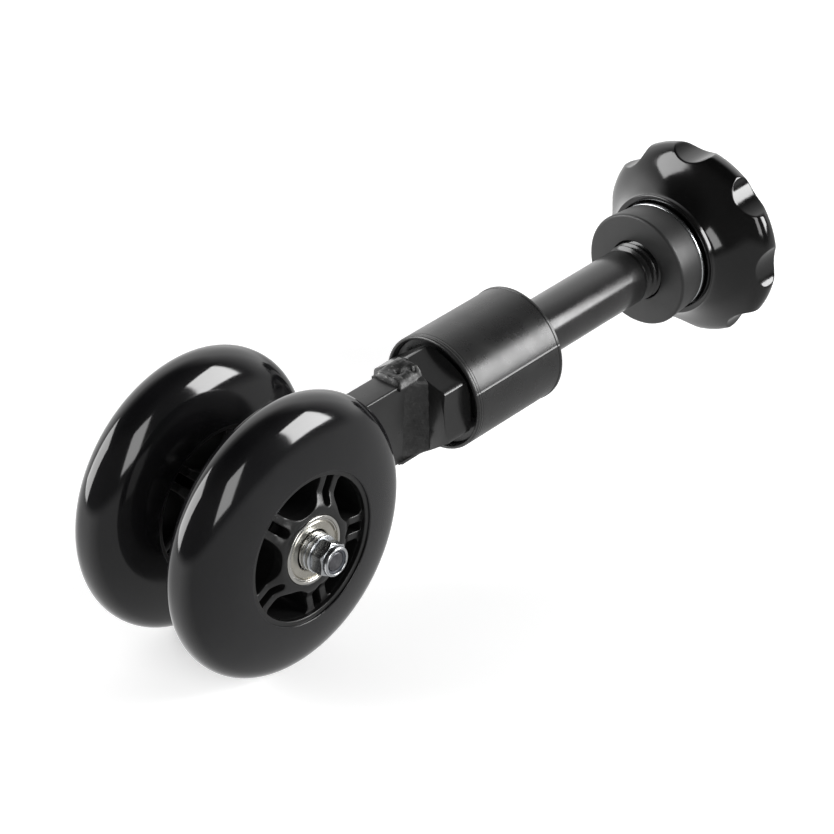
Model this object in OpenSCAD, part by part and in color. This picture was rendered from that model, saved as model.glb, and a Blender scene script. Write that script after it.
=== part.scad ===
// Wheel dolly: two small wheels on an axle at the end of a flat bar, which is
// welded to a large hex bolt. A rubber sleeve sits against the bolt's head, and
// a star knob screws along the thread and presses a rubber pad towards it.
//
// Origin: on the bolt's axis, at the sleeve's clamping face.
// +X runs along the bolt towards the knob, +Y along the wheel axle, +Z up.
// The wheel on the -Y side is called near, and the one on the +Y side far.

/* [Wheels] */
// Outside diameter of each wheel
wheel_d = 90; // [86:1:92]
// Width of a tyre at its widest
tyre_w = 24; // [23:0.5:25]
// Radius of the opening in the tyre's side
tyre_mouth_r = 24.5; // [24.5:0.1:25.5]
// Squareness of the tyre's cross-section, where 2 is an ellipse
tyre_fullness = 2.2; // [2:0.1:2.6]
// Outside radius of the core, under the tyre
core_r = 26.5; // [26:0.1:27]
// Inside radius of the core's rim
core_rim_r = 23; // [22.6:0.1:23.4]
// Width of the core's rim
core_rim_w = 21.8; // [20.6:0.2:22]
// Number of double spokes
spoke_count = 5; // [4:1:6]
// Width of the spokes' web along the axle
spoke_w = 19; // [16:0.5:19.6]
// Direction of the first double spoke, up from +X
spoke_angle = 62; // [0:1:72]
// Width of the slot inside a double spoke
spoke_slot_w = 3; // [2.4:0.1:3.4]
// Width of each bar of a double spoke
spoke_bar_w = 2.5; // [2:0.1:2.8]

/* [Bearings] */
// Outside diameter of a bearing
bearing_d = 22; // [21.9:0.05:22.1]
// Bore of a bearing
bearing_bore = 8; // [7.9:0.05:8.1]
// Width of a bearing
bearing_w = 7; // [6.8:0.1:7.2]
// Balls in a bearing
ball_count = 7; // [6:1:8]
// Diameter of a ball
ball_d = 3.969; // [3.9:0.01:4]
// Distance between the two bearings of a wheel
bearing_gap = 10.3; // [10:0.1:11]

/* [Axle] */
// Thread diameter of the axle bolt
axle_d = 6; // [5.5:0.1:6]
// Length of the axle bolt under its head
axle_l = 74.5; // [74:0.1:75]
// Size across the flats of the axle bolt's head and nut
axle_af = 10; // [9.8:0.1:10.2]
// Height of the lock nut
nut_h = 6; // [5.8:0.1:6.4]
// Height of the axle bolt's head
axle_head_h = 4; // [3.5:0.1:4.5]
// Outside diameter of an axle washer
axle_washer_d = 12; // [11:0.5:12]
// Thickness of an axle washer
axle_washer_t = 1.6; // [1.4:0.1:1.8]
// Thickness of the spacer ring between bar and bearing
bar_spacer_t = 2; // [1.5:0.1:2.5]

/* [Bar] */
// Thickness of the flat bar
bar_t = 10; // [8:0.5:12]
// Height of the flat bar
bar_h = 28; // [24:0.5:30]
// Distance from the wheel axle to the clamping face
axle_back = 126; // [120:1:135]

/* [Hex bolt] */
// Size across the flats of the bolt's head
head_af = 30; // [29:0.5:30]
// Turn of the head against the bar, as welded; its top corner leans towards +Y
head_turn = 5.5; // [0:0.5:8]
// Thickness of the bolt's head
head_h = 12.5; // [11:0.5:13]
// Diameter of the plain shank
shank_d = 19.2; // [18.8:0.1:19.6]
// Thread diameter
thread_d = 20; // [19.8:0.1:20]
// Thread pitch
thread_pitch = 2.5; // [2:0.5:2.5]
// Length of the bolt under its head
bolt_l = 130; // [125:1:135]
// Where the thread starts, measured from the clamping face
thread_start = 55; // [54:1:58]

/* [Sleeve and pad] */
// Outside diameter of the rubber sleeve
sleeve_d = 38.8; // [38:0.1:40]
// Length of the rubber sleeve
sleeve_l = 40; // [39:0.5:42]
// Diameter of the pocket that takes the bolt's head
pocket_d = 36.2; // [35.8:0.1:36.6]
// Depth of that pocket
pocket_depth = 3; // [2:0.5:4]
// Distance from the sleeve to the pad as drawn
grip_gap = 61.4; // [59:0.1:64]
// Diameter of the rubber pad's pressing face
pad_d = 39.8; // [39:0.1:41]
// Diameter of the rubber pad's back, at the washer
pad_back_d = 37.8; // [37:0.1:38.2]
// Thickness of the rubber pad
pad_t = 11.6; // [10:0.1:13]
// Hole through the pad and its washer
pad_hole_d = 21; // [21:0.1:21.6]
// Outside diameter of the steel washer
pad_washer_d = 37.8; // [37:0.1:38.2]
// Thickness of the steel washer
pad_washer_t = 1.6; // [1.4:0.1:2]

/* [Knob] */
// Diameter over the knob's lobes
knob_d = 67.8; // [66:0.1:69]
// Number of finger scallops
scallop_count = 8; // [6:1:9]
// Depth of a scallop
scallop_depth = 3.3; // [2:0.1:3.6]
// Radius of a scallop
scallop_r = 12; // [9:0.5:12.5]
// Diameter of the knob's hub ring
hub_ring_d = 42.8; // [42:0.1:45]
// Length of the knob
knob_l = 22.5; // [22:0.5:25]
// Diameter of the steel insert
insert_d = 27; // [26:0.5:28]

/* [Hidden] */

FINE = 96;
SOFT = 32;
EPS = 0.01;
// Radial clearance of a turning or screwing fit
RUN = 0.05;
// Bevel of a hex head or nut: its height over its depth, and its inset inside the flats
bevel_slope = 0.6;
bevel_inset = 0.1;

// Wheels and bearings along the axle
hub_w = 2 * bearing_w + bearing_gap;
wheel_y = bar_t / 2 + bar_spacer_t + hub_w / 2;
bearing_y = bearing_gap / 2 + bearing_w / 2;
tyre_crown_h = 27;
hub_wall = 1.6;
hub_r = bearing_d / 2 + hub_wall;
stop_r = bearing_d / 2 - 2;
hub_inset = 0.2;
web_ring = 0.4;
rim_bond = 0.5;
half_bay = 180 / spoke_count;
bar_edge = spoke_slot_w / 2 + spoke_bar_w;
window_r = (hub_r + web_ring - bar_edge / sin(half_bay)) / (1 / sin(half_bay) - 1);

// Inside a bearing
ball_pitch_r = (bearing_d + bearing_bore) / 4;
groove_r = ball_d / 2 + 0.05;
outer_shoulder_r = ball_pitch_r + 1.75;
inner_shoulder_r = ball_pitch_r - 1.45;
seat_r = bearing_d / 2 - 1;
seat_depth = 1;
shield_t = 0.35;
shield_hole_r = inner_shoulder_r + 0.4;
ring_t = 0.4;
ring_w = 0.5;
ring_gap_angle = 25;
ring_turn = 40;
cage_h = 1.4;
stub_inset = 0.15;
cage_w = 2.6;
race_edge = 0.3;

// Axle fasteners
spacer_r = 5.5;
spacer_bore_r = axle_d / 2 + RUN;
outboard_y = wheel_y + hub_w / 2;
washer_stack = 2 * axle_washer_t;
collar_h = 1.6;
collar_r = 4.75;
nylon_r = 4;
nylon_inset = 0.4;
thread_chamfer = 0.5;
washer_play = 0.2;
washer_edge = 0.15;
axle_play = 0.1;

// Flat bar and its weld
bar_end_r = bar_h / 2;
head_in_pocket = 1.5;
head_front = -sleeve_l + head_in_pocket - head_h;
head_corner_r = head_af / sqrt(3);
weld_reach = 10;
weld_leg = 4;
weld_toe = 0.5;
bead_edge_h = [1.2, 0.6];
bead_fullness = [1, 0.65];

// Hex bolt
shank_r = shank_d / 2;
thread_r = thread_d / 2;
thread_depth = 1.5;
thread_root_r = thread_r - thread_depth;
flank_share = 0.38;
head_back = head_front + head_h;
bolt_end = head_back + bolt_l;
relief_l = 1.8;
ridge_count = floor((bolt_end - thread_start - relief_l) / thread_pitch) - 1;

// Sleeve, pad and knob
edge_r = 1;
pad_washer_edge = 0.2;
flash_h = 0.25;
flash_w = 1.2;
washer_x = grip_gap + pad_t;
insert_x = washer_x + pad_washer_t;
ring_x = insert_x + 0.4;
ring_reach = 1.9;
ring_wall = 2;
back_dish = 1.5;
insert_inset = 1;
insert_edge = 0.5;
shell_r = hub_ring_d / 2 + 0.1;
dome_x = ring_x + ring_reach;
rim_inset = 4.2;
rim_l = 5.6;
rim_x = insert_x + knob_l - rim_l;
// The dome is a cubic curve; these are its control points
dome_points = [
    [shell_r, dome_x],
    [shell_r + 4.7, dome_x + 8.6],
    [knob_d / 2, rim_x - 5.1],
    [knob_d / 2, rim_x]
];

function turn(a, n, i) = a * (2 * i / n - 1);
// One quadrant of a superellipse: angle, exponent, half width and half height
function super_x(a, n, w) = w * sign(sin(a)) * pow(abs(sin(a)), 2 / n);
function super_y(a, n, h) = h * pow(max(cos(a), 0), 2 / n);
// A point on the cubic curve of four control points
function cubic(t, p) =
    pow(1 - t, 3) * p[0] + 3 * pow(1 - t, 2) * t * p[1] + 3 * (1 - t) * pow(t, 2) * p[2] + pow(t, 3) * p[3];

// Turns children drawn round +Z so that they lie along the wheel axle
module on_axle(y = 0) {
    translate([-axle_back, y, 0]) rotate([-90, 0, 0]) children();
}

// Turns children drawn round +Z so that they lie along the hex bolt
module on_bolt(x = 0) {
    translate([x, 0, 0]) rotate([0, 90, 0]) children();
}

// A ring round +Z from z0 to z1
module ring(r_out, r_in, z0, z1) {
    rotate_extrude($fn = FINE) translate([r_in, z0]) square([r_out - r_in, z1 - z0]);
}

// A ring with its four edges bevelled
module bevelled_ring(r_out, r_in, z0, z1, c) {
    rotate_extrude($fn = FINE)
        polygon([
            [r_in, z0 + c], [r_in + c, z0], [r_out - c, z0], [r_out, z0 + c],
            [r_out, z1 - c], [r_out - c, z1], [r_in + c, z1], [r_in, z1 - c]
        ]);
}

// Places children at both bearings of a wheel, mirrored outwards
module both_bearings() {
    translate([0, 0, bearing_y]) children();
    translate([0, 0, -bearing_y]) mirror([0, 0, 1]) children();
}

// A hexagonal prism with one pair of corners along +Y, its top bevelled at about 30 degrees
module hex_prism(af, h) {
    corner = af / sqrt(3);
    bevel = (corner - af / 2) * bevel_slope;
    intersection() {
        rotate([0, 0, 90]) cylinder(r = corner, h = h, $fn = 6);
        union() {
            cylinder(r = corner + EPS, h = h - bevel, $fn = FINE);
            translate([0, 0, h - bevel])
                cylinder(r1 = corner + EPS, r2 = af / 2 - bevel_inset, h = bevel, $fn = FINE);
        }
    }
}

// ---- wheels ----

module tyre(side) {
    steps = 28;
    side_a = acos(pow((tyre_mouth_r - (wheel_d / 2 - tyre_crown_h)) / tyre_crown_h, tyre_fullness / 2));
    half = core_rim_w / 2;
    color([0.08, 0.08, 0.085])
        on_axle(side * wheel_y)
            rotate_extrude($fn = FINE)
                polygon(concat(
                    [for (i = [0 : steps]) let (a = turn(side_a, steps, i)) [
                        wheel_d / 2 - tyre_crown_h + super_y(a, tyre_fullness, tyre_crown_h),
                        super_x(a, tyre_fullness, tyre_w / 2)
                    ]],
                    [[tyre_mouth_r, half], [core_r, half], [core_r, -half], [tyre_mouth_r, -half]]
                ));
}

// One big window between two double spokes, with a round inner end, open outwards
module window_outline() {
    centre = hub_r + web_ring + window_r;
    reach = core_r;
    translate([centre, 0]) circle(r = window_r, $fn = FINE);
    polygon([
        for (s = [-1, 1]) for (along = s < 0 ? [0, reach] : [reach, 0])
            [centre - window_r * sin(half_bay) + along * cos(half_bay),
             s * (window_r * cos(half_bay) + along * sin(half_bay))]
    ]);
}

// The slot between the two bars of a double spoke, open outwards
module slot_outline() {
    inner = hub_r + web_ring + spoke_slot_w / 2;
    translate([inner, 0]) circle(d = spoke_slot_w, $fn = FINE);
    translate([inner, -spoke_slot_w / 2]) square([core_r, spoke_slot_w]);
}

// The web between hub and rim, cut through by the windows and slots
module spoked_web() {
    difference() {
        cylinder(r = core_rim_r + rim_bond, h = spoke_w, center = true, $fn = FINE);
        for (i = [0 : spoke_count - 1])
            rotate([0, 0, -spoke_angle + i * 2 * half_bay])
                translate([0, 0, -spoke_w])
                    linear_extrude(2 * spoke_w) {
                        slot_outline();
                        rotate([0, 0, half_bay]) window_outline();
                    }
    }
}

module core(side) {
    color([0.12, 0.12, 0.12])
        on_axle(side * wheel_y)
            difference() {
                union() {
                    ring(core_r, core_rim_r, -core_rim_w / 2, core_rim_w / 2);
                    spoked_web();
                    cylinder(r = hub_r, h = hub_w - 2 * hub_inset, center = true, $fn = FINE);
                }
                cylinder(r = stop_r, h = hub_w + 2, center = true, $fn = FINE);
                for (s = [-1, 1])
                    translate([0, 0, s * (bearing_gap / 2 + hub_w / 2)])
                        cylinder(d = bearing_d, h = hub_w, center = true, $fn = FINE);
            }
}

// ---- bearings ----

module outer_races(side) {
    color([0.8, 0.8, 0.78])
        on_axle(side * wheel_y) both_bearings()
            difference() {
                bevelled_ring(bearing_d / 2, outer_shoulder_r, -bearing_w / 2, bearing_w / 2, race_edge);
                rotate_extrude($fn = FINE) translate([ball_pitch_r, 0]) circle(r = groove_r, $fn = SOFT);
                for (s = [-1, 1])
                    translate([0, 0, s * (bearing_w / 2)])
                        cylinder(r = seat_r, h = 2 * seat_depth, center = true, $fn = FINE);
            }
}

module inner_races(side) {
    color([0.8, 0.8, 0.78])
        on_axle(side * wheel_y) both_bearings()
            difference() {
                bevelled_ring(inner_shoulder_r, bearing_bore / 2, -bearing_w / 2, bearing_w / 2, race_edge);
                rotate_extrude($fn = FINE) translate([ball_pitch_r, 0]) circle(r = groove_r, $fn = SOFT);
            }
}

module ball_places() {
    for (i = [0 : ball_count - 1])
        rotate([0, 0, i * 360 / ball_count]) translate([ball_pitch_r, 0, 0]) children();
}

module balls(side) {
    color([0.85, 0.85, 0.87])
        on_axle(side * wheel_y) both_bearings() ball_places() sphere(d = ball_d, $fn = SOFT);
}

module cages(side) {
    color([0.7, 0.65, 0.5])
        on_axle(side * wheel_y) both_bearings()
            difference() {
                ring(ball_pitch_r + cage_h / 2, ball_pitch_r - cage_h / 2, -cage_w / 2, cage_w / 2);
                ball_places() sphere(d = ball_d + 2 * RUN, $fn = SOFT);
            }
}

module shields(side) {
    color([0.75, 0.74, 0.68])
        on_axle(side * wheel_y) both_bearings()
            for (s = [0, 1]) mirror([0, 0, s])
                translate([0, 0, bearing_w / 2 - seat_depth])
                    ring(seat_r - EPS, shield_hole_r, 0, shield_t);
}

module snap_rings(side) {
    color([0.85, 0.85, 0.85])
        on_axle(side * wheel_y) both_bearings()
            for (s = [0, 1]) mirror([0, 0, s])
                translate([0, 0, bearing_w / 2 - seat_depth + shield_t])
                    rotate([0, 0, ring_turn])
                        rotate_extrude(angle = 360 - ring_gap_angle, $fn = FINE)
                            translate([seat_r - ring_w - EPS, 0]) square([ring_w, ring_t]);
}

// Tube between the inner races, with a stub that fills each bearing's bore
module bearing_spacer(side) {
    stub = bearing_w - 2 * stub_inset;
    color([0.7, 0.7, 0.7])
        on_axle(side * wheel_y)
            difference() {
                union() {
                    cylinder(r = spacer_r, h = bearing_gap, center = true, $fn = FINE);
                    cylinder(d = bearing_bore, h = bearing_gap + 2 * stub, center = true, $fn = FINE);
                }
                cylinder(r = spacer_bore_r, h = hub_w + 2, center = true, $fn = FINE);
            }
}

// ---- axle ----

module axle_bolt() {
    head_y = outboard_y + washer_stack;
    color([0.78, 0.78, 0.8]) {
        on_axle(head_y) hex_prism(axle_af, axle_head_h);
        on_axle(head_y - axle_l) {
            translate([0, 0, thread_chamfer])
                cylinder(d = axle_d, h = axle_l - thread_chamfer + EPS, $fn = FINE);
            cylinder(d1 = axle_d - 2 * thread_chamfer, d2 = axle_d, h = thread_chamfer, $fn = FINE);
        }
    }
}

// Hex lock nut with a round collar, opening towards -Y
module lock_nut() {
    color([0.85, 0.85, 0.87])
        on_axle(-outboard_y - washer_stack) mirror([0, 0, 1])
            difference() {
                union() {
                    hex_prism(axle_af, nut_h - collar_h);
                    cylinder(r = collar_r, h = nut_h, $fn = FINE);
                }
                translate([0, 0, -1]) cylinder(d = axle_d + 2 * RUN, h = nut_h + 2, $fn = FINE);
                translate([0, 0, nut_h - collar_h - nylon_inset])
                    cylinder(r = nylon_r, h = collar_h, $fn = FINE);
            }
}

module nut_insert() {
    color([0.85, 0.87, 0.9])
        on_axle(-outboard_y - washer_stack - nut_h + nylon_inset)
            ring(nylon_r, axle_d / 2 + RUN, 0, collar_h);
}

module axle_washers() {
    color([0.8, 0.8, 0.82])
        for (side = [-1, 1]) for (i = [0, 1])
            on_axle(side * (outboard_y + (i + 0.5) * axle_washer_t))
                bevelled_ring(axle_washer_d / 2, axle_d / 2 + washer_play,
                              -axle_washer_t / 2, axle_washer_t / 2, washer_edge);
}

module bar_spacers() {
    color([0.75, 0.75, 0.75])
        for (side = [-1, 1])
            on_axle(side * (bar_t + bar_spacer_t) / 2)
                ring(inner_shoulder_r, axle_d / 2 + axle_play, -bar_spacer_t / 2, bar_spacer_t / 2);
}

// ---- frame ----

module flat_bar() {
    color([0.1, 0.1, 0.1])
        difference() {
            union() {
                on_axle() cylinder(r = bar_end_r, h = bar_t, center = true, $fn = FINE);
                translate([-axle_back, -bar_t / 2, -bar_h / 2])
                    cube([axle_back + head_front, bar_t, bar_h]);
            }
            on_axle() cylinder(d = axle_d + 2 * axle_play, h = bar_t + 2, center = true, $fn = FINE);
        }
}

// Fillet of weld down one side of the bar
module side_fillet(side) {
    hull() {
        translate([-weld_leg, side > 0 ? bar_t / 2 : -bar_t / 2 - weld_toe, -bar_h / 2])
            cube([weld_leg, weld_toe, bar_h + weld_toe]);
        translate([-weld_toe, side > 0 ? bar_t / 2 : -bar_t / 2 - weld_leg, -bar_h / 2 + weld_leg])
            cube([weld_toe, weld_leg, bar_h - 2 * weld_leg]);
    }
}

// Raised bead along the bar's top, which rises from edge_h to the hex's corner
module end_bead(edge_h, fullness) {
    hull() {
        translate([-weld_reach, -bar_t / 2 + 1, bar_h / 2])
            cube([1, bar_t - 2, edge_h]);
        translate([-1, -bar_t / 2 - weld_toe, bar_h / 2])
            cube([1, bar_t + 2 * weld_toe, (head_corner_r - bar_h / 2) * fullness]);
    }
}

module weld_bead() {
    color([0.13, 0.13, 0.13])
        translate([head_front, 0, 0]) {
            side_fillet(-1);
            side_fillet(1);
            for (i = [0, 1]) mirror([0, 0, i]) end_bead(bead_edge_h[i], bead_fullness[i]);
        }
}

module hex_bolt() {
    color([0.09, 0.09, 0.09]) {
        on_bolt(head_back) mirror([0, 0, 1]) rotate([0, 0, 90 - head_turn]) hex_prism(head_af, head_h);
        on_bolt(head_back - EPS)
            cylinder(r = shank_r, h = thread_start - head_back + EPS, $fn = FINE);
        on_bolt(thread_start - EPS) rotate_extrude($fn = FINE) thread_outline();
    }
}

// Half section of the relief groove and the thread's ridges, from the axis out
module thread_outline() {
    flank = thread_pitch * flank_share;
    polygon(concat(
        [[0, 0], [thread_root_r, 0], [thread_root_r, relief_l]],
        [for (i = [0 : ridge_count]) for (p = [
            [thread_root_r, 0], [thread_r, flank],
            [thread_r, thread_pitch - flank], [thread_root_r, thread_pitch - EPS]
        ]) [p[0], relief_l + i * thread_pitch + p[1]]],
        [[thread_root_r, bolt_end - thread_start], [0, bolt_end - thread_start]]
    ));
}

module rubber_sleeve() {
    r = sleeve_d / 2;
    color([0.14, 0.14, 0.14])
        on_bolt(-sleeve_l)
            rotate_extrude($fn = FINE)
                difference() {
                    union() {
                        translate([shank_r, edge_r]) square([r - shank_r, sleeve_l - edge_r]);
                        translate([shank_r, 0]) square([r - shank_r - edge_r / 2, edge_r + EPS]);
                        translate([r - edge_r / 2, edge_r]) circle(r = edge_r / 2, $fn = SOFT);
                        translate([shank_r, sleeve_l - flash_w]) square([r + flash_h - shank_r, flash_w]);
                    }
                    translate([0, -1]) square([pocket_d / 2, pocket_depth + 1]);
                }
}

// ---- clamp ----

module rubber_pad() {
    hole = pad_hole_d / 2;
    front = pad_d / 2 - edge_r;
    back = pad_back_d / 2 - edge_r;
    taper = atan((front - back) / (pad_t - 2 * edge_r));
    color([0.15, 0.15, 0.15])
        on_bolt(grip_gap)
            rotate_extrude($fn = FINE)
                union() {
                    polygon([
                        [hole, 0], [front, 0], [front, edge_r],
                        [front + edge_r * cos(taper), edge_r + edge_r * sin(taper)],
                        [back + edge_r * cos(taper), pad_t - edge_r + edge_r * sin(taper)],
                        [back, pad_t - edge_r], [back, pad_t], [hole, pad_t]
                    ]);
                    translate([front, edge_r]) circle(r = edge_r, $fn = SOFT);
                    translate([back, pad_t - edge_r]) circle(r = edge_r, $fn = SOFT);
                }
}

module pad_washer() {
    color([0.85, 0.85, 0.87])
        on_bolt(washer_x) bevelled_ring(pad_washer_d / 2, pad_hole_d / 2, 0, pad_washer_t, pad_washer_edge);
}

// Steel bush through the knob; its bore runs on the crests of the thread
module knob_insert() {
    color([0.6, 0.6, 0.6])
        on_bolt(insert_x)
            bevelled_ring(insert_d / 2, thread_r + RUN, 0, knob_l - insert_inset, insert_edge);
}

module knob_profile() {
    steps = 16;
    rim_steps = 6;
    rim_r = knob_d / 2 - rim_inset;
    union() {
        polygon(concat(
            [[insert_d / 2, dome_x]],
            [for (i = [0 : steps]) cubic(i / steps, dome_points)],
            [for (i = [1 : rim_steps]) let (a = 90 * i / rim_steps) [
                rim_r + rim_inset * cos(a), rim_x + rim_l * sin(a)
            ]],
            [[insert_d / 2, rim_x + rim_l - back_dish]]
        ));
        translate([hub_ring_d / 2 - ring_wall, ring_x]) square([ring_wall, ring_reach + EPS]);
    }
}

module star_knob() {
    cut_r = knob_d / 2 - scallop_depth + scallop_r;
    color([0.05, 0.05, 0.05])
        difference() {
            rotate([0, 90, 0]) rotate_extrude($fn = FINE) knob_profile();
            for (i = [0 : scallop_count - 1])
                rotate([i * 360 / scallop_count, 0, 0])
                    translate([dome_x, 0, cut_r]) on_bolt()
                        cylinder(r = scallop_r, h = 2 * knob_l, $fn = FINE);
        }
}

tyre(-1);  // near_tyre
core(-1);  // near_core
outer_races(-1);  // near_outer_races
inner_races(-1);  // near_inner_races
balls(-1);  // near_balls
cages(-1);  // near_cages
shields(-1);  // near_shields
snap_rings(-1);  // near_snap_rings
bearing_spacer(-1);  // near_bearing_spacer
tyre(1);  // far_tyre
core(1);  // far_core
outer_races(1);  // far_outer_races
inner_races(1);  // far_inner_races
balls(1);  // far_balls
cages(1);  // far_cages
shields(1);  // far_shields
snap_rings(1);  // far_snap_rings
bearing_spacer(1);  // far_bearing_spacer
axle_bolt();
lock_nut();
nut_insert();
axle_washers();
bar_spacers();
flat_bar();
weld_bead();
hex_bolt();
rubber_sleeve();
rubber_pad();
pad_washer();
knob_insert();
star_knob();
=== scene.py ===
import math

import bmesh
import bpy
import numpy as np
from mathutils import Matrix, Vector
from mathutils.geometry import delaunay_2d_cdt


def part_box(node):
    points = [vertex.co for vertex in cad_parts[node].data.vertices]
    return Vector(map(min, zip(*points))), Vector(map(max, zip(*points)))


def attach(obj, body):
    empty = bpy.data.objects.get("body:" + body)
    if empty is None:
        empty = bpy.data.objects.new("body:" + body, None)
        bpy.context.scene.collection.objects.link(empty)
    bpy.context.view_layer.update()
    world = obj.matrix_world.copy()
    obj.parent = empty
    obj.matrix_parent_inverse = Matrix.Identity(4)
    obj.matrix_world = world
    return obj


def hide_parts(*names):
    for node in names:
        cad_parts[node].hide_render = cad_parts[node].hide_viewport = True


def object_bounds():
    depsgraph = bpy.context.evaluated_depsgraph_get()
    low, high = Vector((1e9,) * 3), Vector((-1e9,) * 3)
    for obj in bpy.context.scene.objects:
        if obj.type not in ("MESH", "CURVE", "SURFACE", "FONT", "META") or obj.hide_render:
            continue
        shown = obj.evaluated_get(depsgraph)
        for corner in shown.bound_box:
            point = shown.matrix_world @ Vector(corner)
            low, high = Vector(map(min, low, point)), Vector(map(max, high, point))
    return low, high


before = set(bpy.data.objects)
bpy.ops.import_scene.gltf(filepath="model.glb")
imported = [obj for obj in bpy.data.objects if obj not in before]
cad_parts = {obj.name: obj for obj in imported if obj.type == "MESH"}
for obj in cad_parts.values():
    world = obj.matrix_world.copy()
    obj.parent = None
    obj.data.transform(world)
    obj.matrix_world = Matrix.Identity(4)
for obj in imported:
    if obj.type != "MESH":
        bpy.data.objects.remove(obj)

# The looks of the wheel dolly. Lengths are in millimetres until make_piece turns them
# into metres, but for those of materials, camera and lights, which are in metres.
# X runs along the hex bolt, Y along the wheel axle, Z is up.

CAD_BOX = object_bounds()
MM = 0.001
TAU = 2 * math.pi


def cad_box(node):
    """Lowest and highest corner of a CAD node, in millimetres."""
    low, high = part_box(node)
    return np.array(low) / MM, np.array(high) / MM


# ---- sizes, from the frame ----

SIDES = {"near": -1, "far": 1}
TYRE_LOW, TYRE_HIGH = cad_box("near_tyre")
AXLE_X = (TYRE_LOW[0] + TYRE_HIGH[0]) / 2
WHEEL_R = (TYRE_HIGH[2] - TYRE_LOW[2]) / 2
TYRE_HALF_W = (TYRE_HIGH[1] - TYRE_LOW[1]) / 2
WHEEL_Y = -(TYRE_LOW[1] + TYRE_HIGH[1]) / 2
CORE_LOW, CORE_HIGH = cad_box("near_core")
CORE_R = (CORE_HIGH[2] - CORE_LOW[2]) / 2
HUB_HALF_W = (CORE_HIGH[1] - CORE_LOW[1]) / 2
RACE_LOW, RACE_HIGH = cad_box("near_outer_races")
BEARING_R = (RACE_HIGH[2] - RACE_LOW[2]) / 2
BEARING_SPAN = (RACE_HIGH[1] - RACE_LOW[1]) / 2
BEARING_W = 7.0
BEARING_Y = BEARING_SPAN - BEARING_W / 2
_, BAR_HIGH = cad_box("flat_bar")
BOLT_LOW, BOLT_HIGH = cad_box("hex_bolt")
WELD_LOW, WELD_HIGH = cad_box("weld_bead")
SLEEVE_LOW, SLEEVE_HIGH = cad_box("rubber_sleeve")
PAD_LOW, PAD_HIGH = cad_box("rubber_pad")
WASHER_LOW, WASHER_HIGH = cad_box("pad_washer")
INSERT_LOW, INSERT_HIGH = cad_box("knob_insert")
KNOB_LOW, KNOB_HIGH = cad_box("star_knob")
NUT_LOW, NUT_HIGH = cad_box("lock_nut")
AXLE_LOW, AXLE_HIGH = cad_box("axle_bolt")

# Wheel; PARTING is the tyre's moulding line, T along the axle from the tyre's middle
CROWN_H = 27.0
TYRE_FULLNESS = 2.2
MOUTH_R = 24.5
LIP_R = 0.3
PARTING_T = 6.0
PARTING_W = 0.16
PARTING_DEPTH = 0.12
RIM_HALF_W = 10.9
RIM_INNER_R = 23.0
WEB_HALF_W = 9.5
HUB_R = BEARING_R + 1.6
SPOKES = 5
SPOKE_ANGLE = math.radians(62)
SLOT_W = 3.0
SPOKE_BAR_W = 2.5

# Axle
AXLE_R = 3.0
AXLE_AF = 10.0
AXLE_HEAD_H = 4.0
AXLE_WASHER_T = 1.6
NUT_COLLAR_H = 1.6
BAR_SPACER_L = 2.0

# Hex bolt; HEAD_TURN is how far a corner of the head leans from the top
HEAD_AF = 30.0
HEAD_TURN = math.radians(5.5)
HEAD_H = 12.5
SHANK_R = 9.6
THREAD_R = 10.0
THREAD_ROOT_R = 8.5
THREAD_START = 55.0
RELIEF_L = 1.8
PITCH = 2.5
POINTS_PER_PITCH = 12

# Clamp; the seam is the mould's parting line along the sleeve
SLEEVE_R = 19.4
SLEEVE_POCKET_R = 18.1
SLEEVE_POCKET_H = 3.0
SLEEVE_SEAM = math.radians(289)
HOLE_R = 10.5
PAD_BACK_R = 18.9
INSERT_BORE_R = 10.05
KNOB_R = 33.9
HUB_RING_R = 21.4
HUB_RING_WALL = 2.0
HUB_RING_REACH = 1.9
RIM_INSET = 4.2
RIM_L = 5.6
SCALLOPS = 8
SCALLOP_R = 12.0
SCALLOP_DEPTH = 3.3


# ---- mesh helpers ----

def rounded(corners, steps=4):
    """A closed outline from corners (x, y, radius), each rounded by its radius."""
    outline = []
    count = len(corners)
    for k, (x, y, radius) in enumerate(corners):
        corner = np.array((x, y), float)
        if radius <= 0:
            outline.append(corner)
            continue
        back = np.array(corners[k - 1][:2]) - corner
        ahead = np.array(corners[(k + 1) % count][:2]) - corner
        back /= np.linalg.norm(back)
        ahead /= np.linalg.norm(ahead)
        half = math.acos(np.clip(back @ ahead, -1, 1)) / 2
        middle = back + ahead
        centre = corner + middle / np.linalg.norm(middle) * radius / math.sin(half)
        first = corner + back * radius / math.tan(half) - centre
        last = corner + ahead * radius / math.tan(half) - centre
        start = math.atan2(first[1], first[0])
        sweep = (math.atan2(last[1], last[0]) - start + math.pi) % TAU - math.pi
        for share in np.linspace(0, 1, steps + 1):
            a = start + sweep * share
            outline.append(centre + radius * np.array((math.cos(a), math.sin(a))))
    return np.array(outline)


def along_bolt(r, t, a):
    """A point at radius r, distance t along the hex bolt and angle a round it."""
    return np.stack([t + 0 * a, r * np.sin(a), r * np.cos(a)], -1)


def along_axle(r, t, a):
    """A point at radius r, place t along the wheel axle and angle a round it, from +X up."""
    return np.stack([AXLE_X + r * np.cos(a), t + 0 * a, r * np.sin(a)], -1)


def skin(grid, closed_round=True, closed_across=True):
    """Points and faces over grid[round, across]."""
    n, m = grid.shape[:2]
    rounds = np.arange(n if closed_round else n - 1)
    across = np.arange(m if closed_across else m - 1)
    i, j = np.meshgrid(rounds, across, indexing="ij")
    corners = [i * m + j, i * m + (j + 1) % m, (i + 1) % n * m + (j + 1) % m, (i + 1) % n * m + j]
    faces = np.stack(corners, -1).reshape(-1, 4).tolist()
    if not closed_round:
        faces.append(list(range(m)))
        faces.append(list(range((n - 1) * m, n * m)))
    return grid.reshape(-1, 3), faces


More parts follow.
